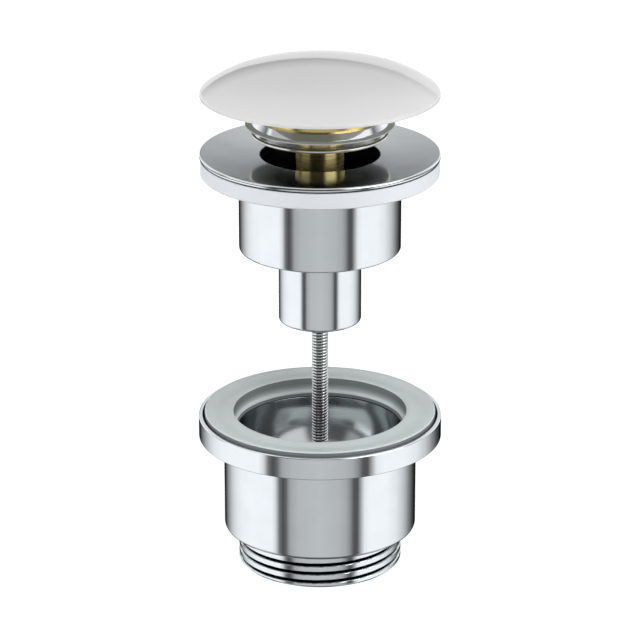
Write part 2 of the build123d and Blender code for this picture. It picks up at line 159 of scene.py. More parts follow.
# Studio seen in the metal, as rings one above the other. A ring gives light by direction, in
# degrees round the object: 0 is towards the camera and 90 on the right.
# Low ring: mid grey behind the camera between dark edges, white panels at the sides, black behind
LOW_STUDIO = (
    (-180, 0.0), (-165, 0.003), (-158, 0.04), (-150, 0.17), (-140, 0.4), (-130, 0.66), (-120, 0.84),
    (-108, 0.95), (-90, 1.0), (-60, 0.98), (-55, 0.75), (-50, 0.18), (-45, 0.08), (-41, 0.14),
    (-36, 0.4), (-26, 0.51), (0, 0.55), (22, 0.5), (31, 0.43), (36, 0.3), (41, 0.1), (46, 0.09),
    (50, 0.4), (55, 0.88), (62, 0.99), (88, 0.98), (104, 0.87), (120, 0.59), (135, 0.24),
    (147, 0.07), (160, 0.004), (180, 0.0),
)
# Middle ring, in front only and in shares of MIDDLE_LIGHT: a panel on the left and a far
# stronger one on the right
MIDDLE_STUDIO = (
    (-180, 0.01), (-105, 0.01), (-90, 0.36), (-56, 0.36), (-43, 0.03), (18, 0.03), (34, 1.0),
    (72, 1.0), (88, 0.02), (180, 0.01),
)
MIDDLE_LIGHT = 3.0
# High ring: bright behind and on the right, grey on the left, dark above the camera
HIGH_STUDIO = (
    (-180, 0.75), (-158, 0.66), (-145, 0.9), (-96, 0.95), (-88, 0.5), (-52, 0.5), (-36, 0.12),
    (14, 0.12), (30, 0.95), (145, 0.95), (158, 0.66), (180, 0.75),
)
# Height in degrees where the white wall behind the object ends and the high ring begins, by
# direction, and how softly, in the sine of the height
BACK_EDGE = ((-180, 10.0), (-166, 5.0), (-150, 10.0), (150, 10.0), (166, 15.0), (180, 10.0))
BACK_SOFTNESS = 0.025
# Light that the high ring keeps straight behind the object, by share of BACK_RISE_SPAN, which is
# in degrees of height
BACK_RISE = ((0.0, 0.13), (0.15, 0.2), (0.3, 0.38), (0.55, 0.54), (0.8, 0.67), (1.0, 1.0))
BACK_RISE_SPAN = (12, 22)
# Spans of height, in degrees, over which one part of the studio passes into the next
LOW_TO_FRONT = (-11, -8)
LOW_TO_LEVEL = (-16.5, -16.2)
MIDDLE_TO_HIGH = (14, 17)
HIGH_TO_CEILING = (38, 52)
LOW_TO_GROUND = (-32, -48)
GROUND_TO_DEEP = (-49, -53)
NADIR_TO_DEEP = (-66, -60)
# Spans of direction, in degrees to either side, over which the front passes into the back
FRONT_TO_BACK = (100, 130)
BACK_TO_STRAIGHT = (150, 165)
# Dark ground with a grey band in it, and the even light on matt surfaces
GROUND = (0.03, 0.035, 0.035, 1.0)
DEEP_GROUND = (0.42, 0.43, 0.43, 1.0)
AMBIENT = (0.25, 0.25, 0.25, 1.0)


def studio_light(n):
    """Colour of the studio by direction."""
    direction = n.add("ShaderNodeTexCoord", output="Generated")
    split = n.add("ShaderNodeSeparateXYZ", {"Vector": direction}).node
    toward_camera = n.math("MULTIPLY", split.outputs["Y"], -1.0)
    azimuth = n.math("ARCTAN2", split.outputs["X"], toward_camera)
    place = n.between(azimuth, -pi, pi)
    sideways = n.math("ABSOLUTE", azimuth)
    height = split.outputs["Z"]

    def ring(stops, interpolation="EASE"):
        return n.ramp(place, [(a / 360 + 0.5, value) for a, value in stops], interpolation)

    def climb(span):
        return n.between(height, sin(radians(span[0])), sin(radians(span[1])))

    def turn(span):
        return n.between(sideways, radians(span[0]), radians(span[1]))

    low = ring(LOW_STUDIO, "LINEAR")
    high = ring(HIGH_STUDIO)
    middle = n.times(ring(MIDDLE_STUDIO), (MIDDLE_LIGHT,) * 3)
    front = n.mix_colour(climb(MIDDLE_TO_HIGH), middle, high)
    front = n.mix_colour(climb(LOW_TO_FRONT), low, front)
    edge = ring([(a, sin(radians(rise))) for a, rise in BACK_EDGE], "LINEAR")
    above_edge = n.between(n.math("SUBTRACT", height, edge), 0.0, BACK_SOFTNESS)
    rise = n.mix_colour(turn(BACK_TO_STRAIGHT), WHITE, n.ramp(climb(BACK_RISE_SPAN), BACK_RISE))
    back = n.mix_colour(above_edge, WHITE, n.times(high, rise))
    level = n.mix_colour(turn(FRONT_TO_BACK), front, back)
    level = n.mix_colour(climb(LOW_TO_LEVEL), low, level)
    upper = n.mix_colour(climb(HIGH_TO_CEILING), level, WHITE)
    lower = n.mix_colour(climb(LOW_TO_GROUND), upper, GROUND)
    deep = n.math("MULTIPLY", climb(GROUND_TO_DEEP), climb(NADIR_TO_DEEP))
    return n.mix_colour(deep, lower, DEEP_GROUND)


def make_world():
    world = bpy.data.worlds.new("studio")
    world.use_nodes = True
    scene.world = world
    n = Nodes(world.node_tree)
    path = n.add("ShaderNodeLightPath").node
    sharp = n.math("MAXIMUM", path.outputs["Is Glossy Ray"], path.outputs["Is Transmission Ray"])
    lit = n.mix_colour(sharp, AMBIENT, studio_light(n))
    seen = n.mix_colour(path.outputs["Is Camera Ray"], lit, WHITE)
    background = n.add("ShaderNodeBackground", {"Color": seen, "Strength": 1.0})
    out = world.node_tree.nodes.new("ShaderNodeOutputWorld")
    world.node_tree.links.new(background, out.inputs["Surface"])


# Lamps: soft boxes given by direction in degrees and by the share of full white that they add,
# left out of the metal, which sees the studio's own panels
LAMP_DISTANCE = 1.4
LAMP_SIZE = 0.9
LAMP_AIM = Vector((0.0, 0.0, 0.07))
LAMPS = (
    ("top", 15, 60, 0.28),
    ("key", 28, 14, 0.34),
    ("back", 180, 30, 0.1),
    ("left", -80, 5, 0.76),
    ("right", 80, 8, 0.42),
)


def make_lamp(name, azimuth, elevation, share):
    data = bpy.data.lights.new(name, "AREA")
    data.shape = "DISK"
    data.size = LAMP_SIZE
    data.energy = share * (pi * LAMP_DISTANCE) ** 2
    lamp = bpy.data.objects.new(name, data)
    scene.collection.objects.link(lamp)
    a, e = radians(azimuth), radians(elevation)
    outward = Vector((sin(a) * cos(e), -cos(a) * cos(e), sin(e)))
    lamp.location = outward * LAMP_DISTANCE + LAMP_AIM
    lamp.rotation_euler = (-outward).to_track_quat("-Z", "Y").to_euler()
    lamp.visible_glossy = False
    lamp.visible_camera = False


# Floor: nearly white for the camera with a faint shadow, and not seen in the metal
FLOOR_REACH = 6.0
FLOOR_GRAIN = 60.0
PAPER_GREYS = ((0.3, 0.43), (0.7, 0.47))
FLOOR_GLOW = 0.82


def make_floor():
    reach = FLOOR_REACH
    mesh = bpy.data.meshes.new("floor")
    corners = [(-reach, -reach, 0), (reach, -reach, 0), (reach, reach, 0), (-reach, reach, 0)]
    mesh.from_pydata(corners, [], [(0, 1, 2, 3)])
    floor = bpy.data.objects.new("floor", mesh)
    scene.collection.objects.link(floor)
    material, n = new_material("floor")
    grain = n.add("ShaderNodeTexNoise", {"Scale": FLOOR_GRAIN, "Detail": 3.0})
    paper = n.add("ShaderNodeBsdfDiffuse", {"Color": n.ramp(grain, PAPER_GREYS)})
    glow = n.add("ShaderNodeEmission", {"Color": WHITE, "Strength": FLOOR_GLOW})
    shown = n.add("ShaderNodeAddShader", {0: paper, 1: glow})
    path = n.add("ShaderNodeLightPath").node
    seen = n.add("ShaderNodeMixShader", {0: path.outputs["Is Camera Ray"], 1: paper, 2: shown})
    clear = n.add("ShaderNodeBsdfTransparent")
    surface = n.add("ShaderNodeMixShader", {0: path.outputs["Is Glossy Ray"], 1: seen, 2: clear})
    finish_material(n, surface)
    floor.data.materials.append(material)


# Materials
def new_material(name):
    material = bpy.data.materials.new(name)
    material.use_nodes = True
    return material, Nodes(material.node_tree)


def finish_material(n, shader):
    out = n.tree.nodes.new("ShaderNodeOutputMaterial")
    n.tree.links.new(shader, out.inputs["Surface"])


def grain_vector(n, scale=(1.0, 1.0, 1.0)):
    place = n.add("ShaderNodeTexCoord", output="Object")
    return n.add("ShaderNodeMapping", {"Vector": place, "Scale": scale})


def outward_vector(n):
    """Vector from the turning axis to the surface, in metres."""
    place = n.add("ShaderNodeTexCoord", output="Object")
    return n.times(place, (1.0, 1.0, 0.0))


def radius_of(n):
    """Distance from the turning axis, in metres."""
    return n.add("ShaderNodeVectorMath", {0: outward_vector(n)}, operation="LENGTH", output="Value")


FACING_IN_SPAN = (-0.25, -0.45)


def facing_in(n):
    """1 where a surface faces the turning axis, 0 where it faces outward."""
    outward = n.add("ShaderNodeVectorMath", {0: outward_vector(n)}, operation="NORMALIZE")
    normal = n.add("ShaderNodeTexCoord", output="Normal")
    lean = n.add(
        "ShaderNodeVectorMath", {0: outward, 1: normal}, operation="DOT_PRODUCT", output="Value"
    )
    return n.between(lean, *FACING_IN_SPAN)


METAL_CLOUD_SCALE = 140.0
METAL_CLOUD_SPAN = (0.35, 0.65)
BORE_ROUGHNESS = 0.3
# Painted shade in thread roots: depth shares where the flanks and the crests take over from the root's
# tint
FLANK_DEPTH = 0.45
FLANK_GAIN = 1.6
CREST_DEPTH = 0.85
TURNING_STRETCH = (1.0, 1.0, 60.0)
TURNING_SCALE = 70.0
TURNING_WEAR = ((0.35, 0.6), (0.6, 1.0))
TURNING_ANGLE = 0.25


def metal(
    name, colour, smooth, rough, grain_size, bump, bore=None, root=None, shade=0.04, turning=0.0
):
    """Metal with cloudy handling marks in its gloss and a fine grain in its surface.

    smooth and rough are the ends of its roughness, and grain_size and bump the grain's width and
    depth. bore is a painted shade: the dark tint given to surfaces that face the axis; root is
    (radius, crest radius, share) for painted shade in a thread's roots, whose tint there keeps
    only that share of the crests' brightness. turning is the strength of the fine marks that a
    lathe leaves round the piece, which stretch its highlights upright.
    """
    material, n = new_material(name)
    place = grain_vector(n)
    cloud = n.noise(place, METAL_CLOUD_SCALE, 4.0)
    grain = n.noise(place, 1.0 / (grain_size * MM), 3.0)
    dark = tuple(c * (1.0 - shade) for c in colour)
    cloud_low, cloud_high = METAL_CLOUD_SPAN
    tint = n.ramp(cloud, [(cloud_low, (*dark, 1.0)), (cloud_high, (*colour, 1.0))])
    gloss = n.between(cloud, cloud_low, cloud_high, smooth, rough)
    # Painted shade: surfaces that face the axis, in bores and recesses, take the dark bore tint
    if bore:
        inward = facing_in(n)
        tint = n.mix_colour(inward, tint, (bore, bore, bore, 1.0))
        gloss = n.math("ADD", gloss, n.math("MULTIPLY", inward, BORE_ROUGHNESS))
    # Painted shade in thread roots, darker towards the root radius
    if root:
        root_r, crest_r, share = root
        depth = n.between(radius_of(n), root_r * MM, crest_r * MM)
        stops = ((0.0, share), (FLANK_DEPTH, share * FLANK_GAIN), (CREST_DEPTH, 1.0))
        tint = n.times(tint, n.ramp(depth, stops, "EASE"))
    if turning:
        marks = n.noise(grain_vector(n, TURNING_STRETCH), TURNING_SCALE, 3.0)
        tint = n.times(tint, n.ramp(marks, TURNING_WEAR))
    inputs = {"Base Color": tint, "Metallic": 1.0, "Roughness": gloss, "Normal": n.bump(grain, bump)}
    if turning:
        inputs["Anisotropic"] = turning
        inputs["Anisotropic Rotation"] = TURNING_ANGLE
        inputs["Tangent"] = n.add("ShaderNodeTangent", direction_type="RADIAL", axis="Z")
    finish_material(n, n.add("ShaderNodeBsdfPrincipled", inputs))
    return material


RUBBER_CLOUD_SCALE = 220.0
RUBBER_TINT_SPAN = (0.38, 0.62)
RUBBER_GLOSS_SPAN = (0.3, 0.7)
ROUGHNESS_PLAY = 0.05
UPRIGHT_SPAN = (0.03, 0.3)


def rubber(name, colour, rough, grain_size, bump, shade=0.12, side=None, rim=None, gleam=0.5):
    """Moulded rubber, plastic or clay: a matt surface with a fine even grain.

    side is a painted shade: the dark tint given to upright faces; rim is (inner radius, outer
    radius, tint) for a face that gets paler towards its edge, and gleam is the specular level.
    """
    material, n = new_material(name)
    place = grain_vector(n)
    cloud = n.noise(place, RUBBER_CLOUD_SCALE, 5.0)
    grain = n.noise(place, 1.0 / (grain_size * MM), 2.0)
    dark = tuple(c * (1.0 - shade) for c in colour)
    mixed = n.math("ADD", n.math("MULTIPLY", cloud, 0.5), n.math("MULTIPLY", grain, 0.5))
    tint_low, tint_high = RUBBER_TINT_SPAN
    tint = n.ramp(mixed, [(tint_low, (*dark, 1.0)), (tint_high, (*colour, 1.0))])
    gloss = n.between(cloud, *RUBBER_GLOSS_SPAN, rough - ROUGHNESS_PLAY, rough + ROUGHNESS_PLAY)
    # Painted shade: upright faces take the side tint
    if side:
        normal = n.add("ShaderNodeTexCoord", output="Normal")
        up = n.add("ShaderNodeSeparateXYZ", {"Vector": normal}, output="Z")
        tint = n.mix_colour(n.between(up, *UPRIGHT_SPAN), (*side, 1.0), tint)
    if rim:
        rim_in, rim_out, rim_tint = rim
        outward = n.between(radius_of(n), rim_in * MM, rim_out * MM)
        tint = n.mix_colour(outward, tint, (*rim_tint, 1.0))
    inputs = {
        "Base Color": tint,
        "Roughness": gloss,
        "Normal": n.bump(grain, bump),
        "Specular IOR Level": gleam,
    }
    finish_material(n, n.add("ShaderNodeBsdfPrincipled", inputs))
    return material


GLAZE_CLOUD_SCALE = 90.0
GLAZE_SPECK_SCALE = 1500.0
GLAZE_SPAN = (0.3, 0.7)
GLAZE_SHADE = 0.975
GLAZE_ROUGHNESS = (0.03, 0.07)
GLAZE_RIPPLE = 0.012


def glaze(name, colour):
    """White glaze: an even body and a gloss with a very slow ripple and fine specks."""
    material, n = new_material(name)
    place = grain_vector(n)
    cloud = n.noise(place, GLAZE_CLOUD_SCALE, 3.0)
    speck = n.noise(place, GLAZE_SPECK_SCALE, 2.0)
    dark = tuple(c * GLAZE_SHADE for c in colour)
    low, high = GLAZE_SPAN
    inputs = {
        "Base Color": n.ramp(cloud, [(low, (*dark, 1.0)), (high, (*colour, 1.0))]),
        "Roughness": n.between(speck, low, high, *GLAZE_ROUGHNESS),
        "Normal": n.bump(cloud, GLAZE_RIPPLE),
        "IOR": 1.5,
    }
    finish_material(n, n.add("ShaderNodeBsdfPrincipled", inputs))
    return material


# Turned pieces. An outline is a closed line of (radius, height), drawn from corners of
# (radius, height, rounding).
TURN_COLUMNS = 192
FINE_COLUMNS = 256
ROUNDING_STEPS = 5
HOLD = 0.04
LONG_SIDE = 6 * HOLD
ON_AXIS = 1e-6
CREASE = radians(35.0)


def rounded(corners):
    """Outline points from corners (radius, height, rounding); a rounding of 0 keeps the corner."""
    points = []
    count = len(corners)
    for index, (r, z, rounding) in enumerate(corners):
        if rounding == 0:
            points.append((r, z))
            continue
        here = Vector((r, z))
        before = (Vector(corners[index - 1][:2]) - here).normalized()
        after = (Vector(corners[(index + 1) % count][:2]) - here).normalized()
        corner = before.angle(after)
        reach = rounding / tan(corner / 2)
        start = here + before * reach
        end = here + after * reach
        centre = here + (before + after).normalized() * (rounding / sin(corner / 2))
        for step in range(ROUNDING_STEPS + 1):
            share = step / ROUNDING_STEPS
            spoke = (start - centre).slerp(end - centre, share).normalized()
            points.append(tuple(centre + spoke * rounding))
    return points


def tangent_arc(start, tangent, end, steps):
    """Points after start on the arc that leaves it along tangent, and the tangent at its end."""
    begin = Vector(start)
    forward = Vector(tangent).normalized()
    across = Vector((-forward.y, forward.x))
    chord = Vector(end) - begin
    radius = chord.length_squared / (2 * chord.dot(across))
    sweep = 2 * asin(chord.length / (2 * radius))
    points = []
    for step in range(1, steps + 1):
        turn = sweep * step / steps
        ahead = forward * radius * sin(turn)
        aside = across * radius * (1 - cos(turn))
        points.append(tuple(begin + ahead + aside))
    return points, tuple(forward * cos(sweep) + across * sin(sweep))


def held(outline):
    """Outline with a point close to both ends of each long side, which keeps its shading flat."""
    points = []
    for index, corner in enumerate(outline):
        here = Vector(corner)
        side = Vector(outline[(index + 1) % len(outline)]) - here
        points.append(corner)
        if side.length > LONG_SIDE:
            inset = side.normalized() * HOLD
            points.append(tuple(here + inset))
            points.append(tuple(here + side - inset))
    return points


def turned(name, outline, columns=TURN_COLUMNS, ridge=None, finish=None):
    """Mesh object made by turning a closed outline about Z.

    ridge(angle, r, z) may change a point's radius, and finish(r, z) gives a face's material.
    """
    outline = held(outline)
    vertices = []
    rings = []
    for r, z in outline:
        if r < ON_AXIS:
            rings.append([len(vertices)] * columns)
            vertices.append((0.0, 0.0, z * MM))
            continue
        ring = []
        for column in range(columns):
            angle = 2 * pi * column / columns
            radius = ridge(angle, r, z) if ridge else r
            ring.append(len(vertices))
            vertices.append((radius * cos(angle) * MM, radius * sin(angle) * MM, z * MM))
        rings.append(ring)
    faces = []
    finishes = []
    for index, ring in enumerate(rings):
        after = (index + 1) % len(rings)
        following = rings[after]
        r, z = outline[index]
        next_r, next_z = outline[after]
        choice = finish((r + next_r) / 2, (z + next_z) / 2) if finish else 0
        for column in range(columns):
            beside = (column + 1) % columns
            corners = [ring[column], ring[beside], following[beside], following[column]]
            corners = list(dict.fromkeys(corners))
            if len(corners) > 2:
                faces.append(corners)
                finishes.append(choice)
    return make_piece(name, vertices, faces, finishes)


def swept(sections):
    """Vertices and faces of a solid through equal closed sections, with flat ends."""
    count = len(sections[0])
    vertices = [point for section in sections for point in section]
    faces = []
    for first in range(0, len(vertices) - count, count):
        for corner in range(count):
            beside = (corner + 1) % count
            following = first + count
            faces.append((first + corner, following + corner, following + beside, first + beside))
    faces.append(tuple(range(count)))
    faces.append(tuple(reversed(range(len(vertices) - count, len(vertices)))))
    return vertices, faces


def make_piece(name, vertices, faces, finishes=None):
    """Smoothly shaded object whose edges stay sharp where they turn by more than CREASE."""
    mesh = bpy.data.meshes.new(name)
    mesh.from_pydata(vertices, [], faces)
    if finishes:
        mesh.polygons.foreach_set("material_index", finishes)
    mesh.update()
    mesh.shade_smooth()
    mesh.set_sharp_from_angle(angle=CREASE)
    piece = bpy.data.objects.new(name, mesh)
    scene.collection.objects.link(piece)
    return piece


def dress(piece, body, materials, node):
    """Gives a piece its body and materials, and lets it stand for a CAD node, which it hides."""
    for material in materials:
        piece.data.materials.append(material)
    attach(piece, body)
    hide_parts(node)


make_camera()
make_world()
make_floor()
for lamp in LAMPS:
    make_lamp(*lamp)

CHROME_TINT = (0.885, 0.935, 0.975)
SATIN_TINT = (0.863, 0.913, 0.94)
DISC_TINT = (0.96, 0.95, 0.92)
RIM_TINT = (0.72, 0.73, 0.74)
# Painted shade in the flange's groove
GROOVE_SHADE_TINT = (0.3, 0.33, 0.34)
# Painted shadow line at the foot of the flange's rim
PAINTED_SHADOW_TINT = (0.07, 0.08, 0.085)
# Duller, rougher metal in the tail's bore, bowl and bridge; its darkened tint is painted shade
DULL_BORE_SHADE_TINT = (0.57, 0.6, 0.61)
# Painted shade for chrome surfaces that face the axis, in bores, throats and recesses
PAINTED_BORE_SHADE = 0.035
STEEL_TINT = (0.86, 0.88, 0.9)
SCREW_TINT = (0.95, 0.96, 0.97)
BRASS_TINT = (0.82, 0.66, 0.28)
LIP_TINT = (0.24, 0.205, 0.1)
WHITE_RUBBER_TINT = (0.84, 0.875, 0.915)
GREY_RUBBER_TINT = (0.71, 0.77, 0.765)
# Painted shade on the grey gasket's upright walls
GREY_SIDE_SHADE = (0.19, 0.21, 0.21)
SEAL_TINT = (0.6, 0.63, 0.63)
BLACK_RUBBER_TINT = (0.012, 0.013, 0.012)
# Inner and outer radius of the seat's paler rim, and its tint
BLACK_RIM = (11.0, 16.6, (0.3, 0.31, 0.3))
GLAZE_TINT = (0.79, 0.79, 0.79)
# Unglazed clay under the cap, darkened to a painted shade
BISCUIT_SHADE_TINT = (0.4, 0.375, 0.25)
WHITE_PLASTIC_TINT = (0.8, 0.8, 0.78)
BLACK_PLASTIC_TINT = (0.08, 0.085, 0.09)
# Root radius, crest radius and the share of light that a root keeps: painted shade in the thread roots
TAIL_ROOT_SHADE = (19.6, 20.955, 0.04)
SCREW_ROOT_SHADE = (1.65, 2.1, 0.28)

chrome = metal("chrome", CHROME_TINT, 0.03, 0.06, 0.6, 0.0006)
chrome_painted_bore_shade = metal("chrome_painted_bore_shade", CHROME_TINT, 0.03, 0.06, 0.6, 0.0006, bore=PAINTED_BORE_SHADE)
thread_chrome_shaded_roots = metal("thread_chrome_shaded_roots", CHROME_TINT, 0.05, 0.1, 0.4, 0.002, root=TAIL_ROOT_SHADE)
dull_bore_painted_shade = metal("dull_bore_painted_shade", DULL_BORE_SHADE_TINT, 0.13, 0.15, 0.5, 0.0003, shade=0.01)
satin_chrome = metal("satin_chrome", SATIN_TINT, 0.09, 0.12, 0.25, 0.002, bore=PAINTED_BORE_SHADE)
painted_shadow_line_chrome = metal("painted_shadow_line_chrome", PAINTED_SHADOW_TINT, 0.2, 0.3, 0.3, 0.003)
disc_chrome = metal("disc_chrome", DISC_TINT, 0.12, 0.17, 0.25, 0.006)
rim_chrome = metal("rim_chrome", RIM_TINT, 0.1, 0.14, 0.3, 0.003)
groove_chrome_painted_shade = metal("groove_chrome_painted_shade", GROOVE_SHADE_TINT, 0.1, 0.14, 0.3, 0.003)
brass = metal("brass", BRASS_TINT, 0.16, 0.22, 0.4, 0.006)
turned_brass = metal("turned_brass", BRASS_TINT, 0.3, 0.35, 0.3, 0.004, turning=0.95)
collar_brass = metal("collar_brass", BRASS_TINT, 0.04, 0.07, 0.3, 0.001)
lip_brass = metal("lip_brass", LIP_TINT, 0.6, 0.68, 0.3, 0.008)
steel = metal("steel", STEEL_TINT, 0.12, 0.2, 0.3, 0.002)
screw_steel_shaded_roots = metal("screw_steel_shaded_roots", SCREW_TINT, 0.08, 0.14, 0.3, 0.002, root=SCREW_ROOT_SHADE)
white_rubber = rubber("white_rubber", WHITE_RUBBER_TINT, 0.55, 0.35, 0.01, shade=0.03)
grey_rubber = rubber("grey_rubber", GREY_RUBBER_TINT, 0.5, 0.4, 0.02, 0.06, side=GREY_SIDE_SHADE)
seal_rubber = rubber("seal_rubber", SEAL_TINT, 0.45, 0.3, 0.02)
black_rubber = rubber("black_rubber", BLACK_RUBBER_TINT, 0.7, 0.4, 0.02, rim=BLACK_RIM, gleam=0.02)
ceramic = glaze("ceramic", GLAZE_TINT)
biscuit_painted_shade = rubber("biscuit_painted_shade", BISCUIT_SHADE_TINT, 0.6, 0.25, 0.03)
white_plastic = rubber("white_plastic", WHITE_PLASTIC_TINT, 0.4, 0.5, 0.004, shade=0.03)
black_plastic = rubber("black_plastic", BLACK_PLASTIC_TINT, 0.4, 0.5, 0.004, shade=0.05)

# Slot and material of each CAD node that is shown as it is
SHOWN_NODES = {
    # The barrel cup and the sleeve take chrome with painted shade on their inner faces
    "barrel_cup": ("chrome", chrome_painted_bore_shade),
    "cartridge_sleeve": ("chrome", chrome_painted_bore_shade),
    "anchor_bush": ("brass", brass),
    "backing_disc": ("brass", brass),
    "spacer_collar": ("brass", collar_brass),
    "plug_stem": ("brass", turned_brass),
    "flange_gasket": ("white_rubber", white_rubber),
    "screw_seal": ("seal_rubber", seal_rubber),
    "screw_washer": ("steel", steel),
    "index_pin": ("steel", steel),
    "guide_circlip": ("spring_steel", steel),
    "stem_guide": ("black_plastic", black_plastic),
    "index_ring": ("black_plastic", black_plastic),
    "spring_cup": ("white_plastic", white_plastic),
}
for node, (slot, material) in SHOWN_NODES.items():
    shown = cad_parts[node]
    shown.data.materials.clear()
    shown.data.materials.append(material)

# Tail thread, G 1 1/4: pitch and depth of the standard pipe thread
PIPE_PITCH = 2.309
PIPE_DEPTH = 1.35
PIPE_CREST = 0.52
PIPE_ROOT = 0.06
TAIL_R = 20.955
TAIL_BORE_R = 17.0
TAIL_END = 9.4
TAIL_CHAMFER = 0.6
TAIL_ROWS = 128
BODY_COLUMNS = 288
# The thread lies outside this radius and below this height
THREAD_INNER_R = 19.255
THREAD_END = 8.55
RELIEF_R = 19.655
RELIEF_BOTTOM = 8.5
RELIEF_STEP = 0.02
CUP_R = 24.65
CUP_BORE_R = 21.05
CUP_EDGE = 0.9
BOWL_TOP = 34.0
BOWL_RADIUS = 18.0
BOWL_STEPS = 24
LOWER_FLANGE_BOTTOM = 34.15
LOWER_FLANGE_R = node_radius("waste_body")
LOWER_RIM_TOP = node_top("waste_body")
RECESS_R = 30.0
RECESS_FLOOR = node_bottom("basin_gasket")


def thread_depth(height, angle, pitch, depth, crest, root):
    """Depth below the crest of a right-handed thread; crest and root are the shares of their flats."""
    share = (height / pitch - angle / (2 * pi)) % 1.0
    from_crest = abs(share - 0.5) * 2
    slope = min(1.0, max(0.0, (from_crest - crest) / (1.0 - crest - root)))
    return depth * (1 - cos(pi * slope)) / 2


def tail_ridge(angle, r, z):
    if r < THREAD_INNER_R or z > THREAD_END:
        return r
    return min(r, TAIL_R - thread_depth(z, angle, PIPE_PITCH, PIPE_DEPTH, PIPE_CREST, PIPE_ROOT))


# Faces in the tail's bore and the bowl take the dull metal darkened as painted shade; the thread takes
# chrome with painted shade in its roots
def body_finish(r, z):
    in_bore = r < TAIL_BORE_R + NEAR
    in_cup = r < CUP_BORE_R + NEAR and TAIL_END < z < RECESS_FLOOR
    if in_bore or in_cup:
        return 2
    return 1 if z < TAIL_END else 0


def make_body():
    corners = [(TAIL_BORE_R, 0.0, 0)]
    for row in range(TAIL_ROWS + 1):
        z = RELIEF_BOTTOM * row / TAIL_ROWS
        corners.append((min(TAIL_R, TAIL_R - TAIL_CHAMFER + z), z, 0))
    corners += [
        (RELIEF_R, RELIEF_BOTTOM + RELIEF_STEP, 0),
        (RELIEF_R, TAIL_END, 0),
        (CUP_R, TAIL_END, CUP_EDGE),
        (CUP_R, LOWER_FLANGE_BOTTOM, 0),
        (LOWER_FLANGE_R, LOWER_FLANGE_BOTTOM, 0.2),
        (LOWER_FLANGE_R, LOWER_RIM_TOP, 0.3),
        (RECESS_R, LOWER_RIM_TOP, 0.2),
        (RECESS_R, RECESS_FLOOR, 0),
        (CUP_BORE_R, RECESS_FLOOR, 0.35),
    ]
    widest_tilt = acos(1 - (CUP_BORE_R - TAIL_BORE_R) / BOWL_RADIUS)
    for step in range(BOWL_STEPS + 1):
        tilt = widest_tilt * step / BOWL_STEPS
        r = CUP_BORE_R - BOWL_RADIUS * (1 - cos(tilt))
        corners.append((r, BOWL_TOP - BOWL_RADIUS * sin(tilt), 0))
    outline = rounded(corners)
    body = turned("body_shell", outline, BODY_COLUMNS, ridge=tail_ridge, finish=body_finish)
    dress(body, "lower_body", (chrome_painted_bore_shade, thread_chrome_shaded_roots, dull_bore_painted_shade), "waste_body")


# Bridge in the tail: a hub for the bush on three arms that end in the tail's wall
BRIDGE_BOTTOM = node_bottom("anchor_bush")
ARM_TOP = 11.0
ARM_WIDTH = 3.2
ARM_EDGE = 0.5
ARM_ANGLES = (90, 210, 330)
ARM_LAP = 0.3
HUB_R = 6.0
HUB_TOP = 15.0
HUB_BORE_R = 4.03
HUB_COLUMNS = 96


def make_bridge():
    corners = [
        (HUB_BORE_R, BRIDGE_BOTTOM, 0.2),
        (HUB_R, BRIDGE_BOTTOM, 0.4),
        (HUB_R, HUB_TOP, 0.4),
        (HUB_BORE_R, HUB_TOP, 0.2),
    ]
    hub = turned("bridge_hub", rounded(corners), HUB_COLUMNS)
    dress(hub, "lower_body", (dull_bore_painted_shade,), "waste_body")
    half = ARM_WIDTH / 2
    corners = [(-half, BRIDGE_BOTTOM), (half, BRIDGE_BOTTOM), (half, ARM_TOP), (-half, ARM_TOP)]
    profile = rounded([(across, z, ARM_EDGE) for across, z in corners])
    vertices = []
    faces = []
    for degrees in ARM_ANGLES:
        a = radians(degrees)
        sections = []
        for reach in (HUB_R - ARM_LAP, TAIL_BORE_R + ARM_LAP):
            sections.append([
                ((reach * cos(a) - x * sin(a)) * MM, (reach * sin(a) + x * cos(a)) * MM, z * MM)
                for x, z in profile
            ])
        arm_vertices, arm_faces = swept(sections)
        first = len(vertices)
        vertices += arm_vertices
        faces += [tuple(first + corner for corner in face) for face in arm_faces]
    arms = make_piece("bridge_arms", vertices, faces)
    dress(arms, "lower_body", (dull_bore_painted_shade,), "waste_body")


# Clamp screw: thread over its whole shank, socket head on the washer inside the sleeve
SCREW_R = 2.1
SCREW_PITCH = 0.8
SCREW_DEPTH = 0.45
SCREW_CREST = 0.3
SCREW_ROOT_FLAT = 0.08
SCREW_CHAMFER = 0.6
ROWS_PER_PITCH = 12
SCREW_COLUMNS = 48
SOCKET_R = 1.7
SOCKET_FLOOR_R = 1.5
SOCKET_DEPTH = 2.2


def make_screw():
    end = node_bottom("clamp_screw")
    seat = node_top("screw_washer")
    head_top = node_top("clamp_screw")
    head_r = node_radius("clamp_screw")
    rows = round((seat - end) / SCREW_PITCH * ROWS_PER_PITCH)
    corners = [(0.0, end, 0)]
    for row in range(rows + 1):
        rise = (seat - end) * row / rows
        corners.append((min(SCREW_R, SCREW_R - SCREW_CHAMFER + rise), end + rise, 0))
    corners += [
        (head_r, seat, 0.1),
        (head_r, head_top, 0.3),
        (SOCKET_R, head_top, 0),
        (SOCKET_FLOOR_R, head_top - SOCKET_DEPTH, 0),
        (0.0, head_top - SOCKET_DEPTH, 0),
    ]

    def ridge(angle, r, z):
        if z > seat - NEAR:
            return r
        depth = thread_depth(z, angle, SCREW_PITCH, SCREW_DEPTH, SCREW_CREST, SCREW_ROOT_FLAT)
        return min(r, SCREW_R - depth)

    screw = turned("long_screw", rounded(corners), SCREW_COLUMNS, ridge=ridge)
    dress(screw, "screw", (screw_steel_shaded_roots,), "clamp_screw")


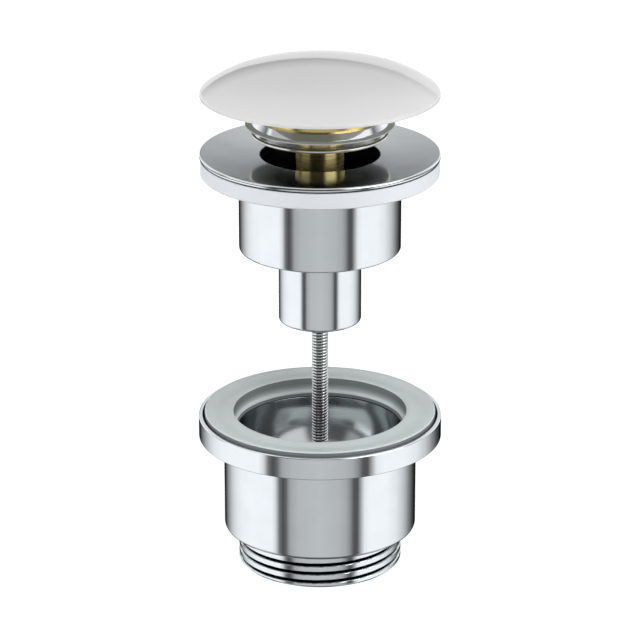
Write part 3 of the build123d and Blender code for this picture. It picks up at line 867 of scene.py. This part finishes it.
# Top flange: dished satin face with a rounded rim over a fine groove, and the throat's skirt. The
# groove gets a painted shade and the rim's foot a painted shadow line
THROAT_R = 14.95
THROAT_LIP = 1.6
FLANGE_DISH = 0.6
SKIRT_R = 18.3
SKIRT_BORE_R = 16.4
GROOVE_DROP = 0.42
GROOVE_HALF = 0.09
GROOVE_DEPTH = 0.16
FLANGE_BEVEL = 0.15
FLANGE_BEVEL_HEIGHT = 0.42
DARK_LINE_HEIGHT = 0.3


def make_top_flange():
    flange_r = node_radius("top_flange")
    rim_top = node_top("top_flange")
    skirt_end = node_bottom("top_flange")
    seat = node_top("flange_gasket")
    throat_edge = rim_top - FLANGE_DISH
    lip = throat_edge - THROAT_LIP
    groove_top = rim_top - GROOVE_DROP
    groove = groove_top - GROOVE_HALF
    groove_bottom = groove - GROOVE_HALF
    corners = [
        (THROAT_R, lip, 0.15),
        (THROAT_R, throat_edge, 0.18),
        (flange_r, rim_top, 0.4),
        (flange_r, groove_top, 0),
        (flange_r - GROOVE_DEPTH, groove, 0),
        (flange_r, groove_bottom, 0),
        (flange_r, seat + FLANGE_BEVEL_HEIGHT, 0.08),
        (flange_r - FLANGE_BEVEL, seat, 0),
        (SKIRT_R, seat, 0),
        (SKIRT_R, skirt_end, 0.2),
        (SKIRT_BORE_R, skirt_end, 0.2),
        (SKIRT_BORE_R, lip - (SKIRT_BORE_R - THROAT_R), 0),
    ]

    # The groove's faces take a painted shade, the narrow band at the rim's foot a painted shadow
    def finish(r, z):
        if groove_bottom - NEAR < z < groove_top and r < flange_r - NEAR:
            return 2
        in_painted_shadow = r > flange_r - 2 * FLANGE_BEVEL and z < seat + DARK_LINE_HEIGHT
        return 1 if in_painted_shadow else 0

    flange = turned("flange_shell", rounded(corners), FINE_COLUMNS, finish=finish)
    finishes = (satin_chrome, painted_shadow_line_chrome, groove_chrome_painted_shade)
    dress(flange, "insert", finishes, "top_flange")


# Basin gasket: dished top, and a bore that sweeps in to a thin lip
SEAL_LIP_OFFSET = 0.35
SEAL_LIP_REACH = 0.75
SEAL_LIP_HEIGHT = 0.9
SWEEP_HEIGHT = 2.5
SWEEP_STEPS = 8
SWEEP_LAP = 0.25
RIM_WIDTH = 1.2
# Valley and crest of the dish: distance from the bore and depth below the top
VALLEY = (3.8, 0.65)
CREST = (0.9, 0.12)
BORE_DROP = 0.25


def make_basin_gasket():
    outer_r = node_radius("basin_gasket")
    foot = node_bottom("basin_gasket")
    top = node_top("basin_gasket")
    lip_r = CUP_BORE_R + SEAL_LIP_OFFSET
    bore_r = lip_r + SEAL_LIP_REACH
    lip_top = foot + SEAL_LIP_HEIGHT
    corners = [
        (lip_r, lip_top, 0.2),
        (lip_r, foot, 0),
        (outer_r, foot, 0),
        (outer_r, top, 0.35),
        (outer_r - RIM_WIDTH, top, 1.5),
        (bore_r + VALLEY[0], top - VALLEY[1], 6.0),
        (bore_r + CREST[0], top - CREST[1], 1.2),
        (bore_r, top - BORE_DROP, 0.25),
    ]
    inward = bore_r - lip_r - SWEEP_LAP
    for step in range(SWEEP_STEPS + 1):
        turn = pi / 2 * step / SWEEP_STEPS
        r = bore_r - inward * (1 - cos(turn))
        corners.append((r, lip_top + SWEEP_HEIGHT * (1 - sin(turn)), 0))
    gasket = turned("basin_seal", rounded(corners), FINE_COLUMNS)
    # Its upright walls get a painted shade from the grey rubber
    dress(gasket, "lower_body", (grey_rubber,), "basin_gasket")


# Cap: glazed dome with a tight lower edge over an unglazed, hollowed underside, whose dark olive tint
# is painted shade
CAP_DOME = 7.8
CROWN_REACH = 20.0
CROWN_DROP = 2.7
CROWN_STEPS = 20
SHOULDER_INSET = 0.45
SHOULDER_RISE = 0.55
SHOULDER_STEPS = 24
TURN_DROP = 0.1
TURN_STEPS = 5
CAP_EDGE_DROP = 0.62
RECESS_CLEARANCE = 0.1
RECESS_RISE = 2.65
HOLLOW_INSET = 2.55
HOLLOW_RISE = 5.4
GLAZE_WRAP = 0.6


def make_cap():
    cap_r = node_radius("ceramic_cap")
    top = node_top("ceramic_cap")
    under = node_bottom("ceramic_cap")
    widest = top - CAP_DOME
    edge = widest - CAP_EDGE_DROP
    recess_r = node_radius("backing_disc") + RECESS_CLEARANCE
    recess_top = node_bottom("backing_disc") + RECESS_RISE
    hollow_r = recess_r - HOLLOW_INSET
    hollow_top = recess_top + HOLLOW_RISE
    crown_end = (CROWN_REACH, top - CROWN_DROP)
    crown, slope = tangent_arc((0.0, top), (1.0, 0.0), crown_end, CROWN_STEPS)
    shoulder_end = (cap_r - SHOULDER_INSET, widest + SHOULDER_RISE)
    shoulder, slope = tangent_arc(crown[-1], slope, shoulder_end, SHOULDER_STEPS)
    turn, _ = tangent_arc(shoulder[-1], slope, (cap_r, widest - TURN_DROP), TURN_STEPS)
    corners = [(0.0, top, 0)]
    corners += [(r, z, 0) for r, z in crown + shoulder + turn]
    corners += [
        (cap_r, edge, 0.1),
        (recess_r, under, 0.2),
        (recess_r, recess_top, 0),
        (hollow_r, recess_top, 0),
        (hollow_r, hollow_top, 0.8),
        (0.0, hollow_top, 0),
    ]

    # The underside and the hollow take the unglazed clay with its painted shade
    def finish(r, z):
        below = z < edge + NEAR and r < cap_r - GLAZE_WRAP
        inside = z < hollow_top + NEAR and r < recess_r + NEAR
        return 1 if below or inside else 0

    cap = turned("glazed_cap", rounded(corners), FINE_COLUMNS, finish=finish)
    dress(cap, "plug", (ceramic, biscuit_painted_shade), "ceramic_cap")


# Bore of the plate, disc and washer that sit on the stem's spigot
SPIGOT_BORE_R = 4.05

# Plug plate: steep cone that stands round the brass disc, and the flat soft lip round its foot
CONE_FOOT_R = 17.0
CONE_FOOT = 117.5
CONE_TOP_R = 16.3
CONE_TOP = 119.05
CONE_WALL = 0.4
CONE_UNDERSIDE_INSET = 0.9
DISC_GAP = 0.02
SEAL_GRIP = 0.85
SEAL_EXTRA = 0.17
SEAL_DROP = 0.2
SEAL_EDGE = 0.22
SEAL_FLARE = 0.3
SEAL_TUCK = 0.06


def make_plate_and_seal():
    disc_r = node_radius("backing_disc") + DISC_GAP
    plate_top = node_top("plug_plate")
    rim_bottom = node_bottom("plug_plate")
    corners = [
        (SPIGOT_BORE_R, plate_top - CONE_WALL, 0),
        (CONE_TOP_R - CONE_UNDERSIDE_INSET, plate_top - CONE_WALL, 0.3),
        (CONE_FOOT_R - CONE_WALL, rim_bottom, 0),
        (CONE_FOOT_R, rim_bottom, 0),
        (CONE_FOOT_R, CONE_FOOT, 0.1),
        (CONE_TOP_R, CONE_TOP, 0.1),
        (disc_r, CONE_TOP, 0.05),
        (disc_r, plate_top, 0),
        (SPIGOT_BORE_R, plate_top, 0),
    ]
    plate = turned("plate_cone", rounded(corners))
    dress(plate, "plug", (chrome,), "plug_plate")
    seal_r = node_radius("plug_seal") + SEAL_EXTRA
    foot = node_bottom("plug_seal")
    lip = CONE_FOOT - SEAL_DROP
    grip_r = CONE_FOOT_R - SEAL_GRIP
    corners = [
        (grip_r, foot, 0.15),
        (CONE_FOOT_R + SEAL_FLARE, foot, 0.3),
        (seal_r, lip - SEAL_EDGE, 0.08),
        (seal_r, lip, 0.08),
        (CONE_FOOT_R, CONE_FOOT - SEAL_TUCK, 0),
        (CONE_FOOT_R, rim_bottom, 0),
        (grip_r, rim_bottom, 0.15),
    ]
    seal = turned("seal_lip", rounded(corners))
    dress(seal, "plug", (seal_rubber,), "plug_seal")


# Seat washer: brass lip round a black sealing face
WASHER_CONE = 1.5
LIP_WIDTH = 0.3
LIP_BOTTOM = 0.34
LIP_EDGE = 0.26


def make_seat_washer():
    washer_r = node_radius("seat_washer")
    bottom = node_bottom("seat_washer")
    top = node_top("seat_washer")
    corners = [
        (SPIGOT_BORE_R, bottom, 0),
        (washer_r - WASHER_CONE, bottom, 0),
        (washer_r - LIP_WIDTH, top - LIP_BOTTOM, 0),
        (washer_r, top - LIP_EDGE, 0.05),
        (washer_r, top, 0),
        (SPIGOT_BORE_R, top, 0),
    ]

    def finish(r, z):
        on_lip = z > top - LIP_BOTTOM + NEAR or r > washer_r - LIP_WIDTH + NEAR
        return 0 if on_lip else 1

    washer = turned("seat_lip", rounded(corners), finish=finish)
    dress(washer, "plug", (lip_brass, black_rubber), "seat_washer")


# Lower disc: thin plate whose rim stands out from a dark step
STEP_RISE = 0.18
STEP_INSET = 0.4
STEP_TOP_INSET = 0.48
STEP_SLOPE = 0.02


def make_lower_disc():
    disc_r = node_radius("lower_disc")
    bottom = node_bottom("lower_disc")
    top = node_top("lower_disc")
    edge = top - STEP_RISE
    corners = [
        (SPIGOT_BORE_R, bottom, 0),
        (disc_r, bottom, 0.06),
        (disc_r, edge, 0.12),
        (disc_r - STEP_INSET, edge + STEP_SLOPE, 0),
        (disc_r - STEP_TOP_INSET, top, 0.08),
        (SPIGOT_BORE_R, top, 0),
    ]

    def finish(r, z):
        if r > disc_r - NEAR:
            return 2
        return 1 if z > edge and r > disc_r - STEP_TOP_INSET - NEAR else 0

    disc = turned("plug_disc", rounded(corners), finish=finish)
    dress(disc, "plug", (disc_chrome, lip_brass, rim_chrome), "lower_disc")


# Click spring: open coil with flat ends, built at one length; the real spring shortens as the plug
# goes down
WIRE_R = 0.55
WIRE_SIDES = 12
SPRING_TURNS = 3.5
SPRING_STEPS = 168


def make_spring():
    bottom = node_bottom("click_spring")
    top = node_top("click_spring")
    length = top - bottom
    mean_r = node_radius("click_spring") - WIRE_R
    sections = []
    for step in range(SPRING_STEPS + 1):
        angle = 2 * pi * SPRING_TURNS * step / SPRING_STEPS
        middle = bottom + WIRE_R / 2 + (length - WIRE_R) * step / SPRING_STEPS
        section = []
        for side in range(WIRE_SIDES):
            around_wire = 2 * pi * side / WIRE_SIDES
            r = mean_r + WIRE_R * cos(around_wire)
            z = min(top, max(bottom, middle + WIRE_R * sin(around_wire)))
            section.append((r * cos(angle) * MM, r * sin(angle) * MM, z * MM))
        sections.append(section)
    spring = make_piece("coil_spring", *swept(sections))
    dress(spring, "insert", (steel,), "click_spring")
    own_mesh(spring)


make_body()
make_bridge()
make_screw()
make_top_flange()
make_basin_gasket()
make_cap()
make_plate_and_seal()
make_seat_washer()
make_lower_disc()
make_spring()
